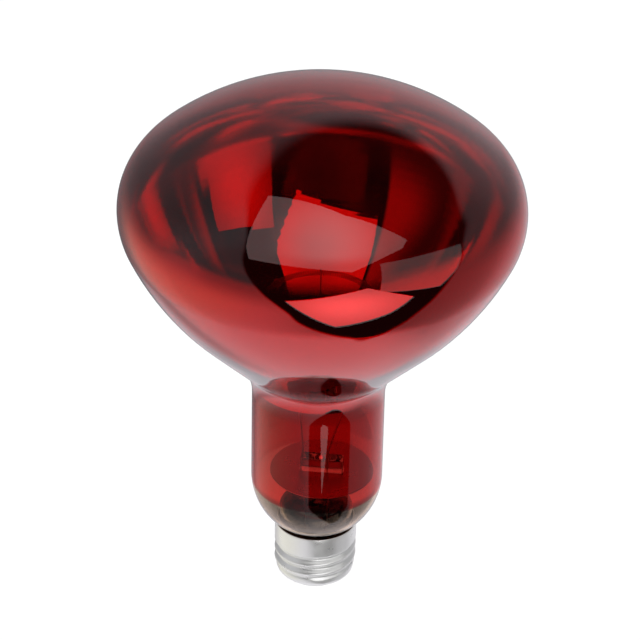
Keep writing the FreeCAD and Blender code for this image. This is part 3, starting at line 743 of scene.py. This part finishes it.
class HEATLAMP_OT_filament(PieceOperator, bpy.types.Operator):
    """Coiled filament: a helix wound round an open ring.

    A point of the wire's axis is the ring's point plus the coil's mean radius in a direction that turns
    once for each pitch; a small circle is carried along it.
    """

    bl_idname = "heatlamp.filament"
    bl_label = "Coiled filament"

    def build(self, scene):
        stem = scene.heatlamp_stem
        ring = stem.ring_radius
        opening = math.asin(stem.ring_end_x / ring)
        sweep = 2 * math.pi - 2 * opening
        turns = ring * sweep / stem.coil_pitch
        steps = int(turns * 14)
        share = np.linspace(0, 1, steps)
        along = -math.pi / 2 + opening + sweep * share
        wind = 2 * math.pi * turns * share
        outward = np.stack([np.cos(along), np.sin(along), np.zeros(steps)], axis=1)
        upward = np.array([0.0, 0.0, 1.0])
        radial = outward * np.cos(wind)[:, None] + upward * np.sin(wind)[:, None]
        mean = stem.coil_radius - stem.coil_wire
        axis = outward * ring + radial * mean + upward * stem.ring_height
        heading = np.gradient(axis, axis=0)
        heading /= np.linalg.norm(heading, axis=1)[:, None]
        across = np.cross(heading, radial)
        around = np.linspace(0, 2 * math.pi, 7)[:-1]
        wire = (axis[:, None, :] + stem.coil_wire * (radial[:, None, :] * np.cos(around)[None, :, None]
                                                     + across[:, None, :] * np.sin(around)[None, :, None]))
        ends = [np.repeat(axis[[k]][:, None, :], 6, axis=1) for k in (0, -1)]
        piece = skin("filament_coil_wound", np.concatenate([ends[0], wire, ends[1]]), crease=80.0)
        tungsten = metal("drawn_tungsten", scene.heatlamp_finish.tungsten, 0.35, 900.0)
        add_piece(piece, tungsten, "filament_coil")


class HEATLAMP_OT_screw_shell(PieceOperator, bpy.types.Operator):
    """Screw shell: a thin sheet whose radius is a wave along its height that climbs one pitch each turn.

    The wave dies away by a smooth step at both ends, into the plain collar and the curled foot.
    """

    bl_idname = "heatlamp.screw_shell"
    bl_label = "Screw shell"

    def build(self, scene):
        cap = scene.heatlamp_cap
        columns = 192
        turn = np.linspace(0, 1, columns, endpoint=False)[None, :]
        height = np.linspace(cap.thread_start, cap.thread_end, 73)[:, None]
        rise = np.clip((height - cap.thread_start) / cap.thread_fade, 0, 1)
        fall = np.clip((cap.thread_end - height) / cap.thread_fade, 0, 1)
        share = rise * rise * (3 - 2 * rise) * fall * fall * (3 - 2 * fall)
        mean = (cap.crest_radius + cap.root_radius) / 2
        climb = (height - cap.thread_start) / cap.pitch + cap.first_turn
        wave = (cap.crest_radius - cap.root_radius) / 2 * np.cos(2 * math.pi * (climb - turn))
        middle = (cap.thread_start + cap.thread_end) / 2
        plain = np.where(height < middle, cap.foot_radius, cap.collar_radius)
        radius = plain + (mean + wave - plain) * share
        foot = (cap.foot_radius, cap.thread_start)
        curl_moves = [("arc", cap.curl_radius, -cap.curl_turn)]
        curl = [outline(foot, -math.pi / 2, curl_moves, offset, math.radians(8))
                for offset in (0.0, cap.wall)]
        outer, inner = cap.collar_radius, cap.collar_radius - cap.wall
        lift = cap.collar_top - cap.rim_round
        bend = np.linspace(0, math.pi / 2, 5)
        drop, rounded = cap.rim_round * (1 - np.cos(bend)), lift + cap.rim_round * np.sin(bend)
        collar = np.linspace(cap.thread_end, lift, 5)[1:-1]
        rim = np.concatenate([np.stack([np.full(3, outer), collar], 1), np.stack([outer - drop, rounded], 1),
                              np.stack([inner + drop, rounded], 1)[::-1],
                              np.stack([np.full(3, inner), collar[::-1]], 1)])
        curl_up, curl_down = curl[0][::-1][:-1], curl[1][1:]
        around = [np.repeat(part[:, :1], columns, 1) for part in (curl_up, rim, curl_down)]
        reach = np.concatenate([around[0], radius, around[1], radius[::-1] - cap.wall, around[2]])
        level = np.concatenate([curl_up[:, 1], height[:, 0], rim[:, 1], height[::-1, 0], curl_down[:, 1]])
        angle = 2 * math.pi * turn
        grid = np.stack([reach * np.cos(angle), reach * np.sin(angle),
                         np.repeat(level[:, None], columns, 1)], axis=-1)
        piece = skin("screw_shell_rolled", grid, closed=True, crease=50.0)
        add_piece(piece, cap_aluminium(scene.heatlamp_finish), "screw_shell")


class HEATLAMP_OT_finishes(PieceOperator, bpy.types.Operator):
    """Finishes of the small pieces that keep the shape they were packed with."""

    bl_idname = "heatlamp.finishes"
    bl_label = "Small pieces"

    def build(self, scene):
        finish = scene.heatlamp_finish
        supports = ["filament_support_%d" % n for n in range(1, 6)]
        given = [
            (clear_glass(finish), ["bead_bar"]),
            (metal("rolled_shield_sheet", finish.shield, 0.3, 180.0), ["heat_shield_disc"]),
            (metal("nickel_lead", finish.nickel, 0.35, 700.0), ["lead_inner_left", "lead_inner_right"]),
            (metal("support_wire", finish.drawn_wire, 0.35, 900.0), supports),
            (metal("copper_wire", finish.copper, 0.3, 900.0),
             ["seal_wire_left", "seal_wire_right", "lead_outer_centre", "lead_outer_side"]),
            (dull("poured_black_glass", finish.black_glass, 0.12, 250.0, 0.05), ["base_insulator"]),
            (metal("stamped_brass", finish.brass, 0.28, 350.0), ["centre_contact"]),
            (metal("smooth_solder", finish.solder, 0.3, 500.0, 0.3, 0.05), ["contact_solder", "side_solder"]),
            (dull("baked_cement", finish.cement, 0.85, 900.0, 0.6), ["cap_cement"]),
        ]
        for material, names in given:
            for name in names:
                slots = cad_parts[name].data.materials
                slots.clear()
                slots.append(material)


def direction(azimuth, elevation):
    """Unit vector for angles in degrees: azimuth 0 points to the camera and 90 to the right."""
    a, e = np.radians(azimuth), np.radians(elevation)
    return np.stack([np.sin(a) * np.cos(e), -np.cos(a) * np.cos(e), np.sin(e)], axis=-1)


# The studio as the glass and the mirror show it. A pair is (azimuth, elevation), or (azimuth, brightness)
# for the walls and the ground.

DARK_EDGE = ((-12, -43), (-19, -25), (-32, 0), (-42, 22), (-50, 38), (-68, 58), (-85, 62), (-116, 62),
             (-146, 59), (-170, 50), (180, 45), (171, 41), (160, 37), (146, 36), (130, 37), (112, 37),
             (86, 18), (71, -8), (60, -32), (54, -55), (45, -72), (8, -62))
DARK_CENTRE = (30, 30)
WALLS = ((-180, 0.60), (-165, 0.45), (-150, 0.34), (-120, 0.33), (-95, 0.45), (-80, 0.55), (-60, 0.42),
         (-36, 0.38), (0, 0.38), (60, 0.33), (83, 0.34), (110, 0.34), (130, 0.44), (146, 0.56), (165, 0.62))
GROUND = ((-180, 0.18), (-160, 0.20), (-134, 0.56), (-114, 0.98), (-98, 1.0), (-85, 0.90), (-60, 0.86),
          (-36, 0.80), (0, 0.55), (45, 0.30), (75, 0.35), (96, 0.42), (110, 0.57), (126, 0.72), (146, 0.78),
          (160, 0.55), (172, 0.25))
OVERHEAD = ((-106, 70), (-72, 61), (-47, 42), (-14, 45), (19, 38), (75, 56), (55, 80))
SIDE = ((38, 44), (87, 26), (75, 2), (64, -11), (30, 3))
SIDE_MIRRORED = ((73, 13), (77, 20), (82, 25), (87, 30), (71, 38), (56, 44), (45, 47), (41, 41), (37, 35),
                 (34, 27), (31, 19), (49, 13))
FRONT = ((-17, -8), (23, 11), (46, -12), (36, -29), (9, -45))


def unlit_part(tree, way):
    """1 in the unlit part of the room: within a curve of angles from its centre line, soft at the back."""
    centre = direction(*[float(v) for v in DARK_CENTRE])
    up = np.array([0.0, 0.0, 1.0]) - centre * centre[2]
    up /= np.linalg.norm(up)
    across = np.cross(centre, up)
    edge = direction(*np.array(DARK_EDGE, float).T)
    turn = np.degrees(np.arctan2(edge @ across, edge @ up))
    reach = np.arccos(edge @ centre) / math.pi
    right, top, near = (vector_math(tree, "DOT_PRODUCT", way, tuple(axis)) for axis in (across, up, centre))
    angle = calc(tree, "ARCTAN2", right, top)
    limit = product(tree, polar_curve(tree, angle, list(zip(turn, reach))), math.pi)
    beyond = calc(tree, "SUBTRACT", calc(tree, "ARCCOSINE", near), limit)
    soft = ramp(tree, axes(tree, way)[1], -0.2, 0.7, math.radians(1.2), math.radians(6))
    return ramp(tree, calc(tree, "DIVIDE", beyond, soft), -1.0, 1.0, 1.0, 0.0)


def room_walls(tree, way, azimuth, seen, studio):
    """Grey walls. The left one is darker through the glass, apart from a lighter part high up in front."""
    x, _, z = axes(tree, way)
    high_part = product(tree, ramp(tree, z, 0.26, 0.55, 0.0, 1.0),
                        ramp(tree, azimuth, math.radians(-90), math.radians(-60), 0.0, 1.0))
    dim = calc(tree, "ADD", product(tree, high_part, 0.42), 0.06)
    left = product(tree, seen, ramp(tree, x, -0.4, -0.6, 0.0, 1.0), ramp(tree, z, 0.0, 0.2, 0.0, 1.0))
    brightness = blend(tree, left, polar_curve(tree, azimuth, WALLS), dim)
    return blend(tree, brightness, BLACK, studio.wall_tint)


def room_ground(tree, way, azimuth, seen, studio, finish):
    """Paler floor, white under the lamp. Through the glass, a strip of it behind the lamp is dark: a painted
    shadow of the lamp.
    """
    x, y, z = axes(tree, way)
    tint = blend(tree, ramp(tree, x, -0.85, -0.35, 0.0, 1.0), studio.warm_floor, studio.cool_floor)
    ground = blend(tree, polar_curve(tree, azimuth, GROUND), BLACK, tint)
    edge = calc(tree, "SUBTRACT", z, ramp(tree, y, 0.3, 0.7, -0.90, -0.645))
    below = ramp(tree, edge, -0.07, 0.07, ramp(tree, y, 0.3, 0.7, 1.0, 0.78), 0.0)
    # painted shadow of the lamp on the floor, seen only through the glass
    painted_shadow_strip = product(tree, seen, ramp(tree, z, -0.88, -0.82, 0.0, 1.0), ramp(tree, z, -0.725, -0.69, 1.0, 0.0),
                    ramp(tree, y, 0.3, 0.45, 0.0, 0.85),
                    ramp(tree, calc(tree, "ABSOLUTE", x), 0.2, 0.36, 1.0, 0.0))
    return blend(tree, painted_shadow_strip, blend(tree, below, ground, tint), finish.dark_room)


def room(tree, way, studio, finish):
    """Colour of the studio in the direction way, as the glass and the metal show it."""
    x, y, z = axes(tree, way)
    azimuth = calc(tree, "ARCTAN2", x, product(tree, y, -1.0))
    seen = through_glass(tree)
    walls = room_walls(tree, way, azimuth, seen, studio)
    ground = room_ground(tree, way, azimuth, seen, studio, finish)
    lit = blend(tree, ramp(tree, z, -0.55, 0.0, 0.0, 1.0), ground, walls)
    return blend(tree, unlit_part(tree, way), lit, finish.dark_room)


def softbox(name, edge, distance, brightness, centre, middle, reach, peak, mirrored, ceiling=100.0):
    """A flat softbox whose corners and middle lie in the given directions, seen only by reflection."""
    rays = direction(*np.array(edge, float).T)
    normal = rays.mean(axis=0)
    normal /= np.linalg.norm(normal)
    corners = centre + rays * (distance / (rays @ normal))[:, None]
    aim = direction(*[float(v) for v in middle])
    bright = centre + aim * (distance / (aim @ normal))
    card = flat_shape(name, corners)
    card.data.materials.append(glow(name + "_light", brightness, bright, reach, peak, mirrored, ceiling))
    card.visible_camera = False
    card.visible_shadow = False


class HEATLAMP_OT_studio(PieceOperator, bpy.types.Operator):
    """Camera, pale floor, even light, softboxes and the unlit part of the room seen by reflection."""

    bl_idname = "heatlamp.studio"
    bl_label = "Studio"

    def build(self, scene):
        studio = scene.heatlamp_studio
        finish = scene.heatlamp_finish
        self.build_camera(scene, studio)
        self.build_floor(studio, finish)
        centre = np.array([0.0, 0.0, studio.aim_height])
        softbox("overhead_softbox", OVERHEAD, 1.6, studio.overhead, centre, (11, 71), 0.8, 2.5, 0.5)
        softbox("side_softbox", SIDE, 1.2, studio.side, centre, (60, 12), 0.6, 0.95, 1.25, 0.52)
        dimmer = 0.6 * studio.side
        softbox("mirrored_side_softbox", SIDE_MIRRORED, 1.3, dimmer, centre, (60, 26), 0.6, 0.0, 2.5)
        softbox("front_softbox", FRONT, 0.32, studio.front, centre, (12, -12), 0.19, 1.75, 1.6)

        self.build_world(scene, studio, finish)
        scene.view_settings.view_transform = "Standard"

    def build_camera(self, scene, studio):
        camera = bpy.data.objects.new("camera", bpy.data.cameras.new("camera"))
        scene.collection.objects.link(camera)
        camera.data.sensor_width = 36.0
        camera.data.lens = studio.lens
        camera.data.clip_end = 50.0
        reach, tilt = studio.camera_distance, studio.camera_elevation
        camera.location = (0.0, -reach * math.cos(tilt), studio.aim_height + reach * math.sin(tilt))
        roll = Euler((0.0, 0.0, studio.camera_roll)).to_matrix()
        camera.rotation_euler = (Euler((studio.camera_pitch, 0.0, 0.0)).to_matrix() @ roll).to_euler()
        scene.camera = camera

    def build_floor(self, studio, finish):
        """Matt white floor for the camera, and the room in its place for the glass and the metal."""
        size, low = 12.0, -studio.floor_drop
        corners = [(-size, -size, low), (size, -size, low), (size, size, low), (-size, size, low)]
        floor = flat_shape("floor", corners)
        material, tree = new_material("pale_floor")
        shade = blend(tree, grain(tree, 3.0, 2.0), finish.floor, scaled(finish.floor, 0.99))
        matt = node(tree, "ShaderNodeBsdfDiffuse", {"Color": shade}).outputs["BSDF"]
        lift = node(tree, "ShaderNodeEmission", {"Strength": studio.floor_lift}).outputs["Emission"]
        seen = node(tree, "ShaderNodeAddShader", {0: matt, 1: lift}).outputs["Shader"]
        way = vector_math(tree, "SUBTRACT", place(tree), (0.0, 0.0, studio.aim_height))
        view = room(tree, vector_math(tree, "NORMALIZE", way), studio, finish)
        mirrored = node(tree, "ShaderNodeEmission", {"Color": view}).outputs["Emission"]
        path = node(tree, "ShaderNodeLightPath").outputs
        sharp = calc(tree, "MAXIMUM", path["Is Glossy Ray"], path["Is Transmission Ray"])
        output(tree, node(tree, "ShaderNodeMixShader", {0: sharp, 1: seen, 2: mirrored}).outputs["Shader"])
        floor.data.materials.append(material)

    def build_world(self, scene, studio, finish):
        """Even light for matt surfaces, and the room for the camera, the glass and the metal."""
        world = bpy.data.worlds.new("studio_room")
        world.use_nodes = True
        tree = world.node_tree
        tree.nodes.clear()
        way = node(tree, "ShaderNodeTexCoord").outputs["Generated"]
        path = node(tree, "ShaderNodeLightPath").outputs
        sharp = calc(tree, "MAXIMUM", path["Is Glossy Ray"], path["Is Transmission Ray"])
        shown = blend(tree, calc(tree, "MAXIMUM", path["Is Camera Ray"], sharp), (studio.sky_light,) * 3,
                      room(tree, way, studio, finish))
        back = node(tree, "ShaderNodeBackground", {"Color": shown}).outputs["Background"]
        node(tree, "ShaderNodeOutputWorld", {"Surface": back})
        scene.world = world


class HEATLAMP_PT_panel(bpy.types.Panel):
    """Lists the steps that build the lamp's looks."""

    bl_label = "Heat lamp"
    bl_idname = "HEATLAMP_PT_panel"
    bl_space_type = "VIEW_3D"
    bl_region_type = "UI"
    bl_category = "Heat lamp"

    def draw(self, context):
        for step in STEPS:
            self.layout.operator(step.bl_idname)
        for group in ("glass", "stem", "cap", "finish", "studio"):
            values = getattr(context.scene, "heatlamp_" + group)
            box = self.layout.box()
            for name in values.__annotations__:
                box.prop(values, name)


GROUPS = {"glass": HeatLampGlassSizes, "stem": HeatLampStemSizes, "cap": HeatLampCapSizes,
          "finish": HeatLampFinish, "studio": HeatLampStudio}
STEPS = (HEATLAMP_OT_envelope, HEATLAMP_OT_mirror, HEATLAMP_OT_stem, HEATLAMP_OT_filament,
         HEATLAMP_OT_screw_shell, HEATLAMP_OT_finishes, HEATLAMP_OT_studio)


def label_values(group):
    """Names each value in the panel after its own name in this script."""
    for name, value in group.__annotations__.items():
        value.keywords["name"] = name.replace("_", " ").capitalize()


def register():
    for group in GROUPS.values():
        label_values(group)
    for made in (*GROUPS.values(), *STEPS, HEATLAMP_PT_panel):
        bpy.utils.register_class(made)
    for name, group in GROUPS.items():
        setattr(bpy.types.Scene, "heatlamp_" + name, PointerProperty(type=group))


def unregister():
    for name in GROUPS:
        delattr(bpy.types.Scene, "heatlamp_" + name)
    for made in reversed((*GROUPS.values(), *STEPS, HEATLAMP_PT_panel)):
        bpy.utils.unregister_class(made)


def main():
    register()
    bpy.ops.heatlamp.envelope()
    bpy.ops.heatlamp.mirror()
    bpy.ops.heatlamp.stem()
    bpy.ops.heatlamp.filament()
    bpy.ops.heatlamp.screw_shell()
    bpy.ops.heatlamp.finishes()
    bpy.ops.heatlamp.studio()


if __name__ == "__main__":
    main()
